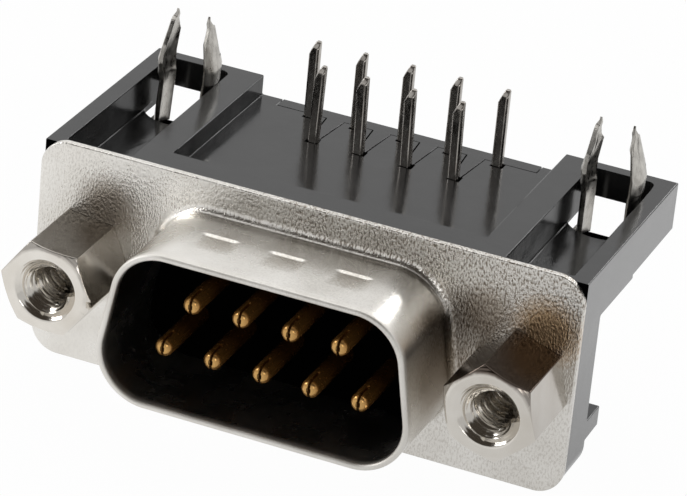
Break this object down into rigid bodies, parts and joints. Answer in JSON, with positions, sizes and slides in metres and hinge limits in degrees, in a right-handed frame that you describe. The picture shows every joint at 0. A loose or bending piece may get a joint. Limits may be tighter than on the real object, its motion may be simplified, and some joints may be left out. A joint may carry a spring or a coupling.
{
  "type": "d-sub connector",
  "caption": "Right-angle board-mount D-sub plug with a drawn metal shell, hexagonal screwlocks, bent solder tails and barbed boardlocks.",
  "frame": {"origin": "middle of the connector's box, on the floor under the flange's lower edge", "axes": "+X along the flange, +Y from the mating face to the back, +Z from the floor towards the circuit board that the tails enter"},
  "size_m": [0.0308, 0.0204, 0.0162],
  "materials": {
    "tin_plated_steel": "matte tin plating with a fine grain",
    "black_thermoplastic": "moulded, half gloss",
    "contact_plating": "gold flash on the pins, tin on the tails",
    "nickel_plating": "bright nickel",
    "tinned_brass_strip": "bright tin"
  },
  "bodies": {
    "root": {"front_shell": "tin_plated_steel", "housing": "black_thermoplastic", "tail_comb": "black_thermoplastic", "contact_1": "contact_plating", "contact_2": "contact_plating", "contact_3": "contact_plating", "contact_4": "contact_plating", "contact_5": "contact_plating", "contact_6": "contact_plating", "contact_7": "contact_plating", "contact_8": "contact_plating", "contact_9": "contact_plating", "screwlock_left": "nickel_plating", "screwlock_right": "nickel_plating", "captive_nut_left": "nickel_plating", "captive_nut_right": "nickel_plating", "boardlock_left": "tinned_brass_strip", "boardlock_right": "tinned_brass_strip"}
  },
  "joints": []
}
